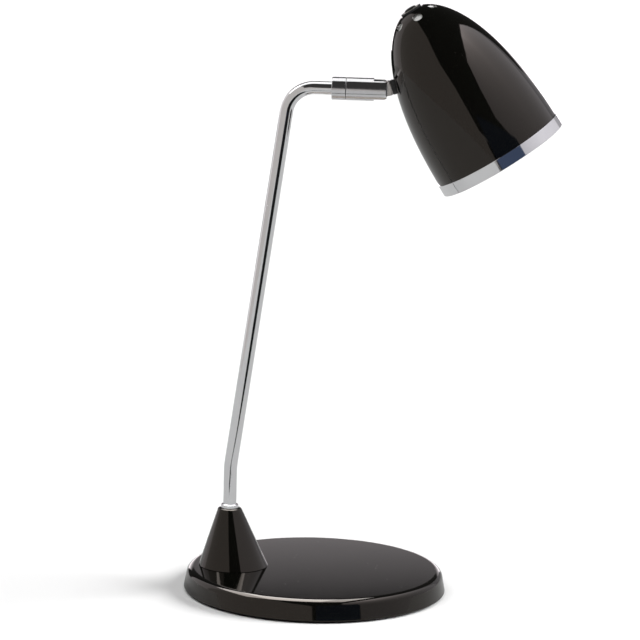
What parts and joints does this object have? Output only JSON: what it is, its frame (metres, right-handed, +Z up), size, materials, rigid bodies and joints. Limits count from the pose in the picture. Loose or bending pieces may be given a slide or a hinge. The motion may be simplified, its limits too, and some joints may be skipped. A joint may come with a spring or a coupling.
{
  "type": "desk lamp",
  "caption": "Small desk lamp: round weighted base, cone and slim leaning mast, level arm with a swivel sleeve, and a bullet shade with trim ring that turns and tilts.",
  "frame": {"origin": "centre of the underside of the felt pad under the round base", "axes": "+Z up, +X the way the arm points from the mast to the shade, +Y away from the camera's side"},
  "size_m": [0.222, 0.16, 0.3636],
  "materials": {
    "felt": "short black felt",
    "plate_steel": "zinc plated",
    "cast_iron": "rough cast, painted",
    "gloss_black": "high gloss",
    "chrome": "polished",
    "satin_nickel": "satin nickel",
    "brass": "turned",
    "black_rubber": "matt",
    "black_plastic": "semi gloss",
    "white_plastic": "smooth",
    "holder_plastic": "moulded",
    "lead_sleeve": "silicone sleeve",
    "white_paint": "satin white",
    "opal_glass": "opal",
    "black_glass": "black vitrite"
  },
  "bodies": {
    "stand": {"felt_pad": "felt", "bottom_plate": "plate_steel", "plate_screws": "plate_steel", "base_weight": "cast_iron", "base_cover": "gloss_black", "cone_cover": "gloss_black", "collar_ring": "chrome", "mast": "chrome", "mast_washer": "plate_steel", "mast_nut": "brass", "cord_gland": "black_plastic", "gland_nut": "black_plastic", "cord_clamp": "holder_plastic", "clamp_screws": "plate_steel", "terminal_block": "white_plastic", "terminal_inserts": "brass", "terminal_screws": "plate_steel", "mast_lead": "lead_sleeve", "joint_collar": "chrome", "swivel_nipple": "brass", "swivel_washer": "black_rubber", "swivel_stop_pin": "plate_steel"},
    "swivel": {"joint_body": "chrome", "grub_screw": "plate_steel", "pivot_pins": "satin_nickel"},
    "head": {"tongue": "satin_nickel", "lock_washer": "plate_steel", "shade_seat": "black_rubber", "inner_washer": "black_plastic", "stud_nut": "plate_steel", "shade": "gloss_black", "trim_ring": "chrome", "light_baffle": "white_paint", "holder_cap": "holder_plastic", "ring_nut": "black_plastic", "button_spring": "plate_steel", "holder_insert": "white_plastic", "holder_skirt": "holder_plastic", "threaded_shell": "brass", "centre_contact": "brass", "bulb_contact": "black_glass", "bulb_cap": "satin_nickel", "bulb_globe": "opal_glass", "head_lead": "lead_sleeve"},
    "button": {"push_button": "black_plastic"}
  },
  "joints": [
    {"name": "head_turn", "type": "hinge", "parent": "stand", "child": "swivel", "pos_m": [0.0121, 0, 0.311], "axis": [1, 0, 0], "range_deg": [-150, 150]},
    {"name": "head_tilt", "type": "hinge", "parent": "swivel", "child": "head", "pos_m": [0.0332, 0, 0.311], "axis": [0, 1, 0], "range_deg": [-45, 74]},
    {"name": "button_press", "type": "slide", "parent": "head", "child": "button", "axis": [0.5476, 0, -0.8368], "range_m": [0, 0.0012], "stiffness_N_per_m": 1500, "springref_m": -0.001, "deforming": ["button_spring"]}
  ]
}
